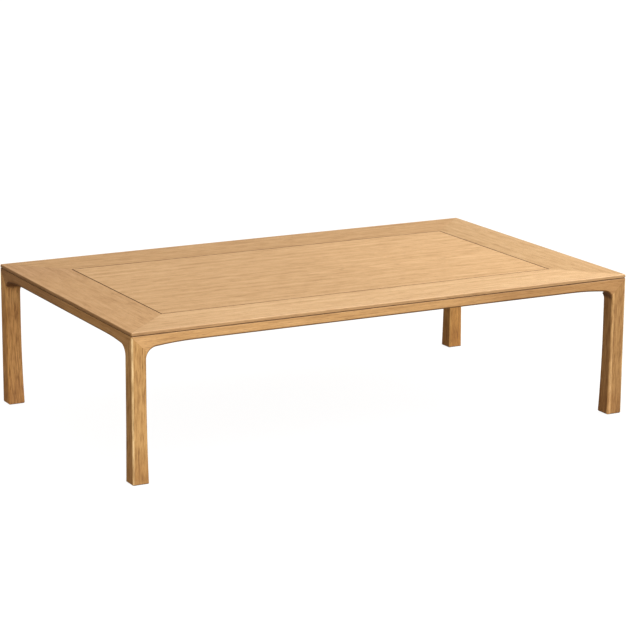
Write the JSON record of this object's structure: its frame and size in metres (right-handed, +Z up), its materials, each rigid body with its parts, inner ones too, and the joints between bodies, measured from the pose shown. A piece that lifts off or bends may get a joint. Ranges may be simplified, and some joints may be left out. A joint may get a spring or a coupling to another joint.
{
  "type": "low table",
  "caption": "Low rectangular wooden table for sitting on the floor, with a framed top, a shadow line round its edge and flush legs mitred to arched rails.",
  "frame": {"origin": "on the floor, under the middle of the table top", "axes": "+X along the length of the table, +Y across it towards the back, +Z up"},
  "size_m": [1.35, 0.81, 0.36],
  "materials": {
    "oak_panel": "satin",
    "oak_border": "satin",
    "oak_rail": "satin",
    "oak_leg": "satin",
    "inner_wood": "bare",
    "dowel_wood": "bare",
    "spline_ply": "bare",
    "screw_steel": "plated",
    "glide_plastic": "matte"
  },
  "bodies": {
    "root": {"batten_left": "inner_wood", "batten_middle": "inner_wood", "batten_right": "inner_wood", "batten_screws": "screw_steel", "block_screws": "screw_steel", "border_back": "oak_border", "border_front": "oak_border", "border_left": "oak_border", "border_right": "oak_border", "button_back_left": "inner_wood", "button_back_right": "inner_wood", "button_front_left": "inner_wood", "button_front_right": "inner_wood", "button_left_back": "inner_wood", "button_left_front": "inner_wood", "button_right_back": "inner_wood", "button_right_front": "inner_wood", "button_screws": "screw_steel", "corner_block_back_left": "inner_wood", "corner_block_back_right": "inner_wood", "corner_block_front_left": "inner_wood", "corner_block_front_right": "inner_wood", "corner_dowels": "dowel_wood", "foot_glide_back_left": "glide_plastic", "foot_glide_back_right": "glide_plastic", "foot_glide_front_left": "glide_plastic", "foot_glide_front_right": "glide_plastic", "leg_back_left": "oak_leg", "leg_back_right": "oak_leg", "leg_front_left": "oak_leg", "leg_front_right": "oak_leg", "mitre_spline_back_left": "spline_ply", "mitre_spline_back_right": "spline_ply", "mitre_spline_front_left": "spline_ply", "mitre_spline_front_right": "spline_ply", "rail_back": "oak_rail", "rail_front": "oak_rail", "rail_left": "oak_rail", "rail_right": "oak_rail", "top_panel": "oak_panel"}
  },
  "joints": []
}
